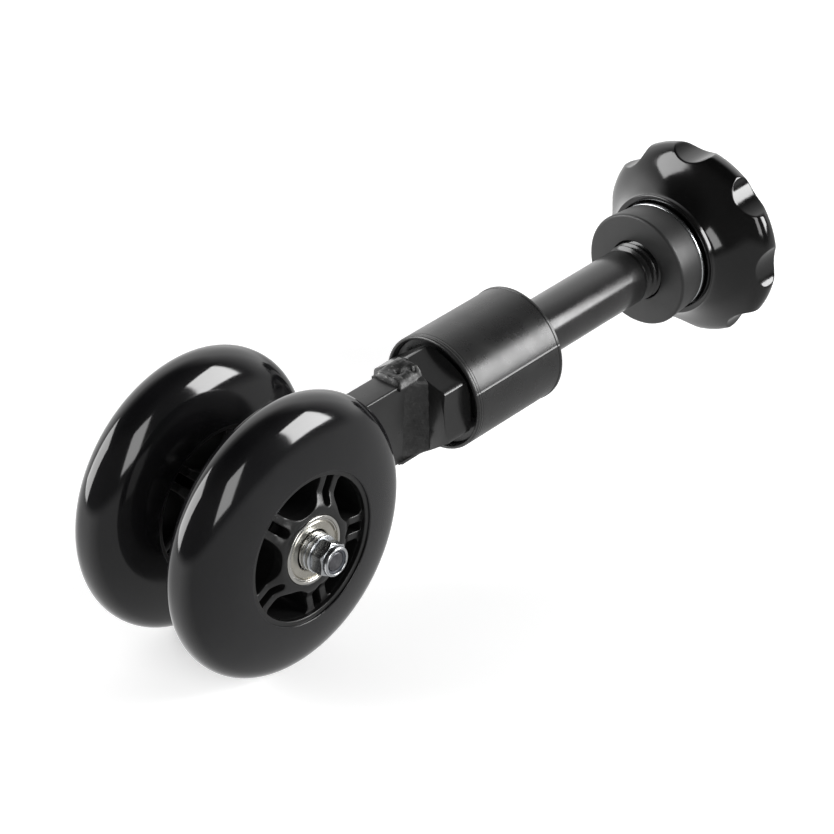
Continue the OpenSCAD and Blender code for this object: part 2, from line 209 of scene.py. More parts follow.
def lathe(outline, place, steps=144, start=0.0, turn=TAU):
    """An outline of (radius, distance) points, turned round an axis."""
    outline = np.asarray(outline, float)
    whole = abs(turn - TAU) < 1e-6
    angles = start + np.linspace(0, turn, steps, endpoint=not whole)
    grid = place(outline[None, :, 0], outline[None, :, 1], angles[:, None])
    return skin(grid, closed_round=whole)


def combine(*shells):
    """Several shells of points and faces as one."""
    points, faces = [], []
    for shell_points, shell_faces in shells:
        offset = sum(len(p) for p in points)
        points.append(np.asarray(shell_points))
        faces += [[offset + v for v in face] for face in shell_faces]
    return np.concatenate(points), faces


def make_piece(name, shell, finish, body, node, sharp=32):
    """A mesh object in metres that rides on a body and stands for a CAD node.

    It is smooth but for edges sharper than the angle given. Its slot is named after its
    finish.
    """
    points, faces = shell
    mesh = bpy.data.meshes.new(name)
    mesh.from_pydata((np.asarray(points, float) * MM).tolist(), [], faces)
    work = bmesh.new()
    work.from_mesh(mesh)
    bmesh.ops.remove_doubles(work, verts=work.verts, dist=1e-7)
    bmesh.ops.dissolve_degenerate(work, edges=work.edges, dist=1e-7)
    bmesh.ops.recalc_face_normals(work, faces=work.faces)
    work.to_mesh(mesh)
    work.free()
    mesh.materials.append(MATERIALS[finish])
    mesh.shade_smooth()
    mesh.set_sharp_from_angle(angle=math.radians(sharp))
    piece = bpy.data.objects.new(name, mesh)
    bpy.context.scene.collection.objects.link(piece)
    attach(piece, body)
    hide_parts(node)


# ---- materials ----

def nodes_of(name):
    """A new node material, its tree and its main shader."""
    material = bpy.data.materials.new(name)
    material.use_nodes = True
    tree = material.node_tree
    return material, tree, tree.nodes["Principled BSDF"]


def link(tree, source, target):
    tree.links.new(source, target)


def object_coords(tree):
    """Places in the object's own space, in metres."""
    return tree.nodes.new("ShaderNodeTexCoord").outputs["Object"]


def scaled(tree, vector, scale):
    """A vector multiplied by three numbers."""
    node = tree.nodes.new("ShaderNodeVectorMath")
    node.operation = "MULTIPLY"
    link(tree, vector, node.inputs[0])
    node.inputs[1].default_value = scale
    return node.outputs[0]


def turned_coords(tree, axis):
    """Radius and distance along an axis as one vector, for lathe marks, and the radius alone."""
    centre = (AXLE_X * MM, 0, 0) if axis == "Y" else (0, 0, 0)
    shift = tree.nodes.new("ShaderNodeVectorMath")
    shift.operation = "SUBTRACT"
    link(tree, object_coords(tree), shift.inputs[0])
    shift.inputs[1].default_value = centre
    across = scaled(tree, shift.outputs[0], (1, 0, 1) if axis == "Y" else (0, 1, 1))
    length = tree.nodes.new("ShaderNodeVectorMath")
    length.operation = "LENGTH"
    link(tree, across, length.inputs[0])
    split = tree.nodes.new("ShaderNodeSeparateXYZ")
    link(tree, shift.outputs[0], split.inputs[0])
    join = tree.nodes.new("ShaderNodeCombineXYZ")
    link(tree, length.outputs["Value"], join.inputs[0])
    link(tree, split.outputs[axis], join.inputs[1])
    return join.outputs[0], length.outputs["Value"]


def noise(tree, vector, scale, detail=3.0, roughness=0.55):
    """Cloudy noise, mostly between 0.3 and 0.7."""
    node = tree.nodes.new("ShaderNodeTexNoise")
    node.inputs["Scale"].default_value = scale
    node.inputs["Detail"].default_value = detail
    node.inputs["Roughness"].default_value = roughness
    link(tree, vector, node.inputs["Vector"])
    return node.outputs["Fac"]


def mapped(tree, value, low, high, to_low, to_high):
    """A value carried from one range to another and held at its ends."""
    node = tree.nodes.new("ShaderNodeMapRange")
    node.inputs["From Min"].default_value = low
    node.inputs["From Max"].default_value = high
    node.inputs["To Min"].default_value = to_low
    node.inputs["To Max"].default_value = to_high
    link(tree, value, node.inputs["Value"])
    return node.outputs["Result"]


def arithmetic(tree, operation, first, second):
    """A math node of two sockets or numbers."""
    node = tree.nodes.new("ShaderNodeMath")
    node.operation = operation
    for value, socket in zip((first, second), node.inputs):
        if isinstance(value, (int, float)):
            socket.default_value = value
        else:
            link(tree, value, socket)
    return node.outputs[0]


def blend_colours(tree, share, first, second):
    """first where share is 0 and second where it is 1; each is a colour or a socket."""
    node = tree.nodes.new("ShaderNodeMix")
    node.data_type = "RGBA"
    link(tree, share, node.inputs["Factor"])
    for value, name in ((first, "A"), (second, "B")):
        socket = [s for s in node.inputs if s.name == name and s.type == "RGBA"][0]
        if isinstance(value, tuple):
            socket.default_value = (*value, 1)
        else:
            link(tree, value, socket)
    return [s for s in node.outputs if s.type == "RGBA"][0]


def add_bump(tree, shader, height, depth, before=None):
    """Bump of a depth in millimetres, on top of another bump's normal."""
    node = tree.nodes.new("ShaderNodeBump")
    node.inputs["Distance"].default_value = depth * MM
    node.inputs["Strength"].default_value = 1.0
    link(tree, height, node.inputs["Height"])
    if before is not None:
        link(tree, before, node.inputs["Normal"])
    link(tree, node.outputs["Normal"], shader.inputs["Normal"])
    return node.outputs["Normal"]


def finish_material(name, dark, light, rough, grain, mottle=60.0, metallic=0.0, turned=None):
    """A finish with a mottled colour, uneven gloss, fine grain and, if turned, lathe marks.

    rough is the range of roughness; grain and turned are (scale, depth in mm);
    turned starts with the axis.
    """
    material, tree, shader = nodes_of(name)
    coords = object_coords(tree)
    cloud = noise(tree, coords, mottle, 4.0)
    spread = mapped(tree, cloud, 0.3, 0.7, 0.0, 1.0)
    link(tree, blend_colours(tree, spread, dark, light), shader.inputs["Base Color"])
    gloss = noise(tree, coords, mottle * 2.7, 5.0, 0.65)
    link(tree, mapped(tree, gloss, 0.3, 0.7, *rough), shader.inputs["Roughness"])
    shader.inputs["Metallic"].default_value = metallic
    normal = add_bump(tree, shader, noise(tree, coords, grain[0], 4.0), grain[1])
    if turned:
        axis, scale, depth = turned
        marks = noise(tree, turned_coords(tree, axis)[0], scale, 4.0, 0.7)
        normal = add_bump(tree, shader, marks, depth, normal)
    return material


def tyre_material():
    """Cast polyurethane: glossy on the turned crown, a little duller on the moulded side."""
    material, tree, shader = nodes_of("tyre_pu")
    coords = object_coords(tree)
    vector, radius = turned_coords(tree, "Y")
    cloud = mapped(tree, noise(tree, coords, 45.0, 4.0), 0.3, 0.7, 0.0, 1.0)
    colour = blend_colours(tree, cloud, (0.004, 0.004, 0.0045), (0.007, 0.007, 0.0075))
    link(tree, colour, shader.inputs["Base Color"])
    side_to_crown = mapped(tree, radius, 0.030, 0.038, 0.16, 0.085)
    streaks = mapped(tree, noise(tree, vector, 900.0, 4.0, 0.7), 0.3, 0.7, -0.02, 0.03)
    rough = arithmetic(tree, "ADD", side_to_crown, streaks)
    link(tree, rough, shader.inputs["Roughness"])
    shader.inputs["Specular IOR Level"].default_value = 0.5
    normal = add_bump(tree, shader, noise(tree, vector, 1100.0, 4.0, 0.7), 0.004)
    add_bump(tree, shader, noise(tree, coords, 500.0, 4.0), 0.002, normal)
    return material


def weld_material():
    """Black painted weld with bare specks, most of them on its top."""
    material, tree, shader = nodes_of("weld_metal")
    coords = object_coords(tree)
    cloud = mapped(tree, noise(tree, coords, 220.0, 4.0), 0.35, 0.65, 0.0, 1.0)
    paint = blend_colours(tree, cloud, (0.008, 0.008, 0.008), (0.020, 0.020, 0.020))
    split = tree.nodes.new("ShaderNodeSeparateXYZ")
    link(tree, coords, split.inputs[0])
    upper = mapped(tree, split.outputs["Z"], 0.0125, 0.0145, 0.05, 0.6)
    specks = mapped(tree, noise(tree, coords, 750.0, 3.0), 0.58, 0.70, 0.0, 1.0)
    specks = arithmetic(tree, "MULTIPLY", specks, upper)
    link(tree, blend_colours(tree, specks, paint, (0.34, 0.34, 0.33)), shader.inputs["Base Color"])
    link(tree, arithmetic(tree, "MULTIPLY", specks, 0.8), shader.inputs["Metallic"])
    gloss = mapped(tree, noise(tree, coords, 500.0, 4.0), 0.3, 0.7, 0.34, 0.52)
    link(tree, gloss, shader.inputs["Roughness"])
    normal = add_bump(tree, shader, noise(tree, coords, 900.0, 5.0, 0.65), 0.06)
    add_bump(tree, shader, noise(tree, coords, 330.0, 4.0), 0.14, normal)
    return material


def core_material():
    """Moulded plastic, satin on the web's faces, with painted shade inside its openings: there its reflection
    is turned almost off.
    """
    material, tree, shader = nodes_of("core_plastic")
    coords = object_coords(tree)
    cloud = mapped(tree, noise(tree, coords, 60.0, 4.0), 0.3, 0.7, 0.0, 1.0)
    link(tree, blend_colours(tree, cloud, (0.004, 0.004, 0.004), (0.008, 0.008, 0.008)),
         shader.inputs["Base Color"])
    split = tree.nodes.new("ShaderNodeSeparateXYZ")
    link(tree, coords, split.inputs[0])
    # Painted shade: the specular level falls from the web's faces to almost none down inside the openings and
    # on the slot floors.
    aside = arithmetic(tree, "ABSOLUTE", split.outputs["Y"], 0.0)
    depth = arithmetic(tree, "ABSOLUTE", arithmetic(tree, "SUBTRACT", aside, WHEEL_Y * MM), 0.0)
    face = mapped(tree, depth, (WEB_HALF_W - 1.3) * MM, (WEB_HALF_W - 0.3) * MM, 0.0, 1.0)
    link(tree, mapped(tree, face, 0.0, 1.0, 0.04, 0.48), shader.inputs["Specular IOR Level"])
    gloss = mapped(tree, noise(tree, coords, 160.0, 5.0, 0.65), 0.3, 0.7, 0.26, 0.38)
    link(tree, gloss, shader.inputs["Roughness"])
    add_bump(tree, shader, noise(tree, coords, 900.0, 4.0), 0.01)
    return material


MATERIALS = {
    "tyre_pu": tyre_material(),
    "core_plastic": core_material(),
    "bearing_steel": finish_material(
        "bearing_steel", (0.50, 0.49, 0.46), (0.66, 0.65, 0.62), (0.14, 0.24), (1500.0, 0.002),
        mottle=180.0, metallic=1.0, turned=("Y", 2500.0, 0.003)),
    "shield_steel": finish_material(
        "shield_steel", (0.46, 0.44, 0.39), (0.60, 0.58, 0.52), (0.24, 0.34), (1200.0, 0.003),
        mottle=150.0, metallic=1.0, turned=("Y", 1200.0, 0.003)),
    "ball_steel": finish_material(
        "ball_steel", (0.74, 0.74, 0.75), (0.82, 0.82, 0.84), (0.05, 0.12), (1500.0, 0.001),
        metallic=1.0),
    "zinc_steel": finish_material(
        "zinc_steel", (0.50, 0.52, 0.54), (0.68, 0.69, 0.70), (0.18, 0.3), (900.0, 0.0025),
        mottle=220.0, metallic=1.0, turned=("Y", 1600.0, 0.003)),
    "axle_steel": finish_material(
        "axle_steel", (0.11, 0.11, 0.12), (0.20, 0.20, 0.21), (0.3, 0.42), (1400.0, 0.006),
        mottle=400.0, metallic=1.0),
    "black_bar": finish_material(
        "black_bar", (0.011, 0.011, 0.011), (0.019, 0.019, 0.019), (0.26, 0.38), (420.0, 0.02)),
    "weld_metal": weld_material(),
    "black_bolt": finish_material(
        "black_bolt", (0.010, 0.010, 0.010), (0.016, 0.016, 0.016), (0.16, 0.24), (600.0, 0.005),
        turned=("X", 900.0, 0.004)),
    "sleeve_rubber": finish_material(
        "sleeve_rubber", (0.013, 0.013, 0.013), (0.019, 0.019, 0.019), (0.24, 0.34), (500.0, 0.012)),
    "pad_rubber": finish_material(
        "pad_rubber", (0.013, 0.013, 0.013), (0.019, 0.019, 0.019), (0.4, 0.5), (800.0, 0.015)),
    "knob_plastic": finish_material(
        "knob_plastic", (0.003, 0.003, 0.003), (0.005, 0.005, 0.005), (0.08, 0.15), (90.0, 0.03)),
    "nylon_blue": finish_material(
        "nylon_blue", (0.030, 0.034, 0.042), (0.055, 0.060, 0.072), (0.35, 0.5), (900.0, 0.01)),
}


# ---- wheels ----

def tyre_outline(parting_t):
    """Section of a tyre: a full superellipse, a small lip round its opening and a parting line."""
    lip = (MOUTH_R + LIP_R - (WHEEL_R - CROWN_H)) / CROWN_H
    side = math.acos(lip ** (TYRE_FULLNESS / 2))
    a = np.linspace(-side, side, 361)
    r = WHEEL_R - CROWN_H + CROWN_H * np.cos(a) ** (2 / TYRE_FULLNESS)
    t = TYRE_HALF_W * np.sign(np.sin(a)) * np.abs(np.sin(a)) ** (2 / TYRE_FULLNESS)
    r = r - PARTING_DEPTH * np.exp(-((t - parting_t) / PARTING_W) ** 2)
    edge = t[-1] - LIP_R
    bend = np.radians(np.linspace(90, 180, 6))[1:]
    lip_r = MOUTH_R + LIP_R + LIP_R * np.cos(bend)
    lip_t = edge + LIP_R * np.sin(bend)
    r = np.concatenate([r, lip_r, [MOUTH_R, CORE_R, CORE_R, MOUTH_R], lip_r[::-1]])
    t = np.concatenate([t, lip_t, [RIM_HALF_W, RIM_HALF_W, -RIM_HALF_W, -RIM_HALF_W], -lip_t[::-1]])
    return np.stack([r, t], -1)


def make_tyre(name, side):
    """One tyre; both have their parting line on the +Y side of their middle."""
    outline = tyre_outline(side * PARTING_T)
    outline[:, 1] = side * (WHEEL_Y + outline[:, 1])
    shell = lathe(outline, along_axle, 240)
    make_piece(f"{name}_tyre_skin", shell, "tyre_pu", f"{name}_wheel", f"{name}_tyre")


def circle(radius, steps):
    """A round outline."""
    a = np.linspace(0, TAU, steps, endpoint=False)
    return np.stack([radius * np.cos(a), radius * np.sin(a)], -1)


def turned_by(outline, angle):
    """An outline turned anticlockwise."""
    c, s = math.cos(angle), math.sin(angle)
    return outline @ np.array([[c, s], [-s, c]])


def window_outline(inner_r, outer_r):
    """A window between two double spokes, as an outline round +X from the hub."""
    half = math.pi / SPOKES
    edge = SLOT_W / 2 + SPOKE_BAR_W
    root = (inner_r - edge / math.sin(half)) / (1 / math.sin(half) - 1)
    reach = math.sqrt(outer_r ** 2 - edge ** 2)
    corner = half - math.atan2(edge, reach)
    rim = [(outer_r * math.cos(a), outer_r * math.sin(a)) for a in np.linspace(-corner, corner, 15)]
    corners = [(edge / math.sin(half), 0, root)]
    corners += [(x, y, 1.5 if k in (0, 14) else 0) for k, (x, y) in enumerate(rim)]
    return rounded(corners, 18)


def slot_outline(inner_r, outer_r):
    """The slot between the two bars of a spoke, as an outline round +X from the hub."""
    w = SLOT_W / 2
    return rounded([
        (inner_r, w, w - 0.01), (inner_r, -w, w - 0.01), (outer_r, -w, 0.5), (outer_r, w, 0.5)], 6)


def resampled(outline, spacing):
    """Points at an even spacing along a closed outline."""
    closed = np.vstack([outline, outline[:1]])
    steps = np.linalg.norm(np.diff(closed, axis=0), axis=1)
    places = np.concatenate([[0], np.cumsum(steps)])
    count = max(8, round(places[-1] / spacing))
    at = np.linspace(0, places[-1], count, endpoint=False)
    return np.stack([np.interp(at, places, closed[:, k]) for k in (0, 1)], -1)


def inset(outline, distance):
    """A closed outline moved to its left, which is inwards when it runs anticlockwise."""
    ahead = np.roll(outline, -1, 0) - np.roll(outline, 1, 0)
    ahead /= np.linalg.norm(ahead, axis=1)[:, None]
    return outline + distance * np.stack([-ahead[:, 1], ahead[:, 0]], -1)


def inside(points, outline):
    """Which points lie inside a closed outline."""
    x, y = points[:, 0][:, None], points[:, 1][:, None]
    a, b = outline, np.roll(outline, -1, 0)
    crosses = (a[:, 1] > y) != (b[:, 1] > y)
    at = a[:, 0] + (y - a[:, 1]) * (b[:, 0] - a[:, 0]) / (b[:, 1] - a[:, 1] + 1e-12)
    return (crosses & (x < at)).sum(1) % 2 == 1


def plate(outer, holes, height, edge, spacing):
    """A plate between an outer outline and its holes, with rounded edges.

    Its two faces stand at +height(r) and -height(r), r being the distance from the centre.
    """
    loops = [(outer, 1)] + [(hole, -1) for hole in holes]
    drops, layers, constraints = [], [], []
    start = 0
    for outline, sign in loops:
        area = np.cross(outline, np.roll(outline, -1, 0)).sum()
        if area < 0:
            outline = outline[::-1]
        for share in (0.0, 0.15, 0.45, 1.0):
            ring = inset(outline, sign * edge * share)
            layers.append(ring)
            drops.append(np.full(len(ring), edge * (1 - math.sqrt(1 - (1 - share) ** 2))))
            constraints += [(start + k, start + (k + 1) % len(ring)) for k in range(len(ring))]
            start += len(ring)
    grid = np.arange(-outer.max(), outer.max(), spacing)
    x, y = np.meshgrid(grid, grid)
    x = x + (np.arange(len(grid)) % 2)[:, None] * spacing / 2
    filler = np.stack([x.ravel(), y.ravel()], -1)
    keep = inside(filler, inset(outer, edge * 2))
    for hole in holes:
        area = np.cross(hole, np.roll(hole, -1, 0)).sum()
        keep &= ~inside(filler, inset(hole if area > 0 else hole[::-1], -edge * 2))
    filler = filler[keep]
    flat = np.concatenate(layers + [filler])
    drop = np.concatenate(drops + [np.zeros(len(filler))])
    out = delaunay_2d_cdt([Vector(p) for p in flat], constraints, [], 0, 1e-6, True)
    places, triangles, sources = np.array([tuple(v) for v in out[0]]), out[2], out[3]
    drop = np.array([min(drop[k] for k in source) if source else 0.0 for source in sources])
    middles = np.array([places[t].mean(0) for t in triangles])
    solid = inside(middles, outer)
    for hole in holes:
        solid &= ~inside(middles, hole)
    triangles = [t for t, keep_it in zip(triangles, solid) if keep_it]
    level = height(np.linalg.norm(places, axis=1)) - drop
    count = len(places)
    points = np.concatenate([np.column_stack([places, level]), np.column_stack([places, -level])])
    faces = [list(t) for t in triangles] + [[v + count for v in reversed(t)] for t in triangles]
    edges = [(t[k], t[(k + 1) % 3]) for t in triangles for k in range(3)]
    known = set(edges)
    for a, b in edges:
        if (b, a) not in known:
            faces.append([b, a, a + count, b + count])
    used = sorted({v for face in faces for v in face})
    renumber = {v: k for k, v in enumerate(used)}
    return points[used], [[renumber[v] for v in face] for face in faces]


def make_core(name, side):
    """One core: web with windows and slots, stepped slot floors, rim and hub."""
    hub_rise = HUB_HALF_W - WEB_HALF_W

    def web_height(r):
        near_hub = np.clip((HUB_R + 5.5 - r) / 5.0, 0, 1)
        return WEB_HALF_W + hub_rise * near_hub ** 2 * (3 - 2 * near_hub)

    window = resampled(window_outline(HUB_R + 0.4, RIM_INNER_R - 0.05), 0.7)
    slot = resampled(slot_outline(HUB_R + 1.0, RIM_INNER_R - 0.05), 0.45)
    holes = []
    for k in range(SPOKES):
        spoke = SPOKE_ANGLE + k * TAU / SPOKES
        holes.append(turned_by(slot, spoke))
        holes.append(turned_by(window, spoke + math.pi / SPOKES))
    holes.append(circle(BEARING_R + 0.02, 120))
    web = plate(circle(RIM_INNER_R + 1.0, 150), holes, web_height, 0.35, 0.9)
    w = SLOT_W / 2 + 0.2
    floor_half = WEB_HALF_W - 2.6
    floor_from, floor_to = HUB_R + 0.6, HUB_R + 4.2
    floor = rounded([(floor_from, -w, 0.4), (floor_to, -w, 0.1), (floor_to, w, 0.1), (floor_from, w, 0.4)])
    floors = []
    for k in range(SPOKES):
        step = turned_by(floor, SPOKE_ANGLE + k * TAU / SPOKES)
        ends = [np.column_stack([step, np.full(len(step), z)]) for z in (-floor_half, floor_half)]
        floors.append(skin(np.stack(ends), closed_round=False))
    shells = []
    for points, faces in [web, *floors]:
        placed = np.column_stack([AXLE_X + points[:, 0], points[:, 2] + side * WHEEL_Y, points[:, 1]])
        shells.append((placed, faces))
    rim = rounded([
        (RIM_INNER_R, RIM_HALF_W, 0.35), (RIM_INNER_R, -RIM_HALF_W, 0.35),
        (CORE_R, -RIM_HALF_W, 0), (CORE_R, RIM_HALF_W, 0)])
    stop_r = BEARING_R - 2
    stop_half = BEARING_SPAN - BEARING_W
    hub = rounded([
        (HUB_R - 0.6, HUB_HALF_W - 0.6, 0), (HUB_R - 0.6, -HUB_HALF_W + 0.6, 0),
        (BEARING_R, -HUB_HALF_W + 0.6, 0), (BEARING_R, -stop_half, 0), (stop_r, -stop_half, 0.2),
        (stop_r, stop_half, 0.2), (BEARING_R, stop_half, 0), (BEARING_R, HUB_HALF_W - 0.6, 0)])
    for outline in (rim, hub):
        outline[:, 1] += side * WHEEL_Y
        shells.append(lathe(outline, along_axle, 180))
    shell = combine(*shells)
    make_piece(f"{name}_core_moulding", shell, "core_plastic", f"{name}_wheel", f"{name}_core", 38)


def both_bearings(outline, side, steps=144, start=0.0, turn=TAU):
    """An outline turned into both bearings of a wheel; its distances run outwards from each middle."""
    shells = []
    for face in (-1, 1):
        placed = outline.copy()
        placed[:, 1] = side * WHEEL_Y + face * (BEARING_Y + outline[:, 1])
        shells.append(lathe(placed, along_axle, steps, start, turn))
    return shells


def make_bearings(name, side):
    """Rings, shields and snap wires of a wheel's two bearings."""
    half = BEARING_W / 2
    seat = half - 1.0
    outer = rounded([
        (BEARING_R, half, 0.4), (BEARING_R - 1, half, 0.15), (BEARING_R - 1, seat, 0),
        (BEARING_R - 1.75, seat, 0), (BEARING_R - 1.75, -seat, 0), (BEARING_R - 1, -seat, 0),
        (BEARING_R - 1, -half, 0.15), (BEARING_R, -half, 0.4)])
    races = combine(*both_bearings(outer, side))
    make_piece(f"{name}_bearing_rings", races, "bearing_steel", f"{name}_wheel", f"{name}_outer_races")

    shield = rounded([
        (BEARING_R - 1.02, seat + 0.02, 0.05), (BEARING_R - 1.02, seat + 0.3, 0.08),
        (BEARING_R - 1.75, seat + 0.3, 0.15), (BEARING_R - 2.1, seat + 0.62, 0.2),
        (6.75, seat + 0.62, 0.2), (6.45, seat + 0.3, 0.1), (6.45, seat + 0.05, 0.05),
        (6.6, seat + 0.05, 0.05), (6.85, seat + 0.32, 0.1), (BEARING_R - 2.2, seat + 0.32, 0.15),
        (BEARING_R - 1.85, seat + 0.02, 0.1)])
    back = shield.copy()
    back[:, 1] *= -1
    shields = combine(*both_bearings(shield, side), *both_bearings(back, side))
    make_piece(f"{name}_bearing_shields", shields, "shield_steel", f"{name}_wheel", f"{name}_shields")

    wire = rounded([
        (BEARING_R - 1.52, seat + 0.34, 0.18), (BEARING_R - 1.02, seat + 0.34, 0.18),
        (BEARING_R - 1.02, seat + 0.74, 0.18), (BEARING_R - 1.52, seat + 0.74, 0.18)], 3)
    behind = wire.copy()
    behind[:, 1] *= -1
    arc = (120, math.radians(12), math.radians(333))
    wires = combine(*both_bearings(wire, side, *arc), *both_bearings(behind, side, *arc))
    make_piece(f"{name}_snap_wires", wires, "bearing_steel", f"{name}_wheel", f"{name}_snap_rings")

    inner = rounded([(6.05, half, 0.35), (4.0, half, 0.3), (4.0, -half, 0.3), (6.05, -half, 0.35)])
    inners = combine(*both_bearings(inner, side))
    make_piece(f"{name}_inner_rings", inners, "bearing_steel", "frame", f"{name}_inner_races")


# ---- hex shapes ----

def hex_shell(af, low, high, place, bevels, bore=0.0, dish=(0.0, 0.0), phase=0.0):
    """A hexagonal prism with turned bevels at both ends and a bore or a dished top.

    low and high are its ends; bevels says how far each end's bevel reaches inside the
    flats; phase is the angle of a corner.
    """
    corner = af / math.sqrt(3)
    a = np.linspace(0, TAU, 96, endpoint=False)
    around = (a - phase) % (math.pi / 3) - math.pi / 6
    hex_r = np.minimum((af / 2) / np.cos(around), corner)
    slope = math.tan(math.radians(30))
    rows = []

    def end(level, inward, bevel):
        top_r = af / 2 - bevel
        drop = (hex_r - top_r) * slope
        return (np.full_like(a, top_r), level), (hex_r, level + inward * drop)

    (low_flat, low_level), (low_rim, low_drop) = end(low, 1, bevels[0])
    (high_flat, high_level), (high_rim, high_drop) = end(high, -1, bevels[1])
    dish_r, dish_depth = dish
    ones = np.ones_like(a)
    rows.append((ones * bore, ones * low_level))
    rows.append((low_flat, ones * low_level))
    rows.append((low_rim, low_drop))
    rows.append((high_rim, high_drop))
    rows.append((high_flat, ones * high_level))
    if dish_depth:
        rows.append((ones * dish_r, ones * high_level))
        rows.append((ones * (dish_r - dish_depth), ones * (high_level - dish_depth)))
        rows.append((ones * bore, ones * (high_level - dish_depth)))
    else:
        rows.append((ones * bore, ones * high_level))
    grid = np.stack([place(r, t, a) for r, t in rows], 1)
    return skin(grid)


# ---- axle ----

def make_axle():
    """Axle bolt with its nut, washers and the spacers beside the bar."""
    nut_face = NUT_HIGH[1]
    nut_h = nut_face - NUT_LOW[1]
    hex_h = nut_h - NUT_COLLAR_H
    corner_up = math.pi / 2

    def outwards(r, t, a):
        return along_axle(r, nut_face - t, a)

    hex_part = hex_shell(
        AXLE_AF, 0.0, hex_h, outwards, (0.15, 0.1), bore=AXLE_R + 0.05, phase=corner_up)
    ring = rounded([
        (4.75, hex_h - 0.8, 0), (4.75, nut_h, 0.7), (3.75, nut_h, 0.3),
        (3.75, nut_h - 0.5, 0.1), (3.9, hex_h - 0.8, 0)], 6)
    shell = combine(hex_part, lathe(ring, outwards, 120))
    make_piece("lock_nut_body", shell, "zinc_steel", "frame", "lock_nut")

    nylon = rounded([
        (3.1, nut_h - 1.9, 0.1), (3.1, nut_h - 0.55, 0.3),
        (3.8, nut_h - 0.55, 0.15), (3.8, nut_h - 1.9, 0.1)])
    make_piece("nut_nylon_ring", lathe(nylon, outwards, 96), "nylon_blue", "frame", "nut_insert")

    head_y = AXLE_HIGH[1] - AXLE_HEAD_H
    end_y = AXLE_LOW[1]
    head = hex_shell(
        AXLE_AF, head_y, AXLE_HIGH[1], along_axle, (0.15, 0.1), dish=(3.6, 0.45), phase=corner_up)
    outline = rounded([(0, head_y + 1, 0), (AXLE_R, head_y + 1, 0), (AXLE_R, end_y, 0.5), (0, end_y, 0)])
    shaft = lathe(outline, along_axle, 96)
    shell = combine(head, shaft)
    make_piece("axle_bolt_body", shell, "axle_steel", "frame", "axle_bolt")

    shells = []
    for side in (-1, 1):
        for k in range(2):
            low = BEARING_SPAN + WHEEL_Y + AXLE_WASHER_T * k
            high = low + AXLE_WASHER_T
            ring = rounded([(6.0, low, 0.3), (6.0, high, 0.45), (3.2, high, 0.1), (3.2, low, 0.1)])
            ring[:, 1] *= side
            shells.append(lathe(ring, along_axle, 120))
    make_piece("axle_washer_stack", combine(*shells), "zinc_steel", "frame", "axle_washers")

    shells = []
    for side in (-1, 1):
        low, high = BAR_HIGH[1], BAR_HIGH[1] + BAR_SPACER_L
        ring = rounded([(6.05, low, 0.2), (6.05, high, 0.2), (3.1, high, 0), (3.1, low, 0)])
        ring[:, 1] *= side
        shells.append(lathe(ring, along_axle, 96))
    make_piece("bar_spacer_rings", combine(*shells), "zinc_steel", "frame", "bar_spacers")


# ---- frame ----

def make_bar():
    """Flat bar with one round end and softened edges: loops from one face to the other."""
    half_t, half_h = BAR_HIGH[1], BAR_HIGH[2]
    turns = np.linspace(0, math.pi, 49)
    round_end = [(AXLE_X - half_h * math.sin(a), half_h * math.cos(a)) for a in turns]
    outline = np.array(round_end + [(BAR_HIGH[0], -half_h), (BAR_HIGH[0], half_h)])
    away = outline - np.array((AXLE_X, 0.0))
    round_part = outline[:, 0] < AXLE_X
    length = np.hypot(away[:, 0] * round_part, away[:, 1])
    edge = 0.7
    bends = np.radians(np.linspace(90, 0, 5))
    loops = []
    for face in (-1, 1):
        for a in (bends if face < 0 else bends[::-1]):
            scale = (length - edge * (1 - math.cos(a))) / length
            ring = outline.copy()
            ring[:, 1] = away[:, 1] * scale
            ring[round_part, 0] = AXLE_X + away[round_part, 0] * scale[round_part]
            y = face * (half_t - edge + edge * math.sin(a))
            loops.append(np.column_stack([ring[:, 0], np.full(len(ring), y), ring[:, 1]]))
    shell = skin(np.stack(loops), closed_round=False)
    make_piece("flat_bar_body", shell, "black_bar", "frame", "flat_bar")


def thread_grid(start, end, steps=128):
    """Angles, places and radii of a thread from start to end, for helical_skin."""
    a = np.linspace(0, TAU, steps, endpoint=False)
    turns = int(math.ceil((end - start) / PITCH)) + 1
    j = np.arange(turns * POINTS_PER_PITCH)
    x = start + (j[None, :] / POINTS_PER_PITCH + a[:, None] / TAU - 1) * PITCH
    phase = (j % POINTS_PER_PITCH) / POINTS_PER_PITCH
    crest = np.clip((np.abs(phase - 0.5) - 0.06) / 0.34, 0, 1)
    depth = THREAD_R - THREAD_ROOT_R
    r = THREAD_R - depth * crest[None, :] + 0 * x
    runout = np.clip((end - x) / 1.2, 0, 1)
    r = np.minimum(r, THREAD_ROOT_R + depth * runout)
    fade_in = np.clip((x - start) / 0.8, 0, 1)
    r = np.where(x < start, THREAD_ROOT_R, THREAD_ROOT_R + (r - THREAD_ROOT_R) * fade_in)
    x = np.clip(x, start, end)
    return a, x, r


def helical_skin(a, x, r):
    """Skin of a thread: after a full turn its outline has moved on by one pitch."""
    n, m = x.shape
    points = along_bolt(r, x, a[:, None]).reshape(-1, 3)
    faces = []
    for i in range(n):
        last = i == n - 1
        onward = POINTS_PER_PITCH if last else (i + 1) * m
        for j in range(m - 1 - (POINTS_PER_PITCH if last else 0)):
            faces.append([i * m + j, i * m + j + 1, onward + j + 1, onward + j])
    return points, faces


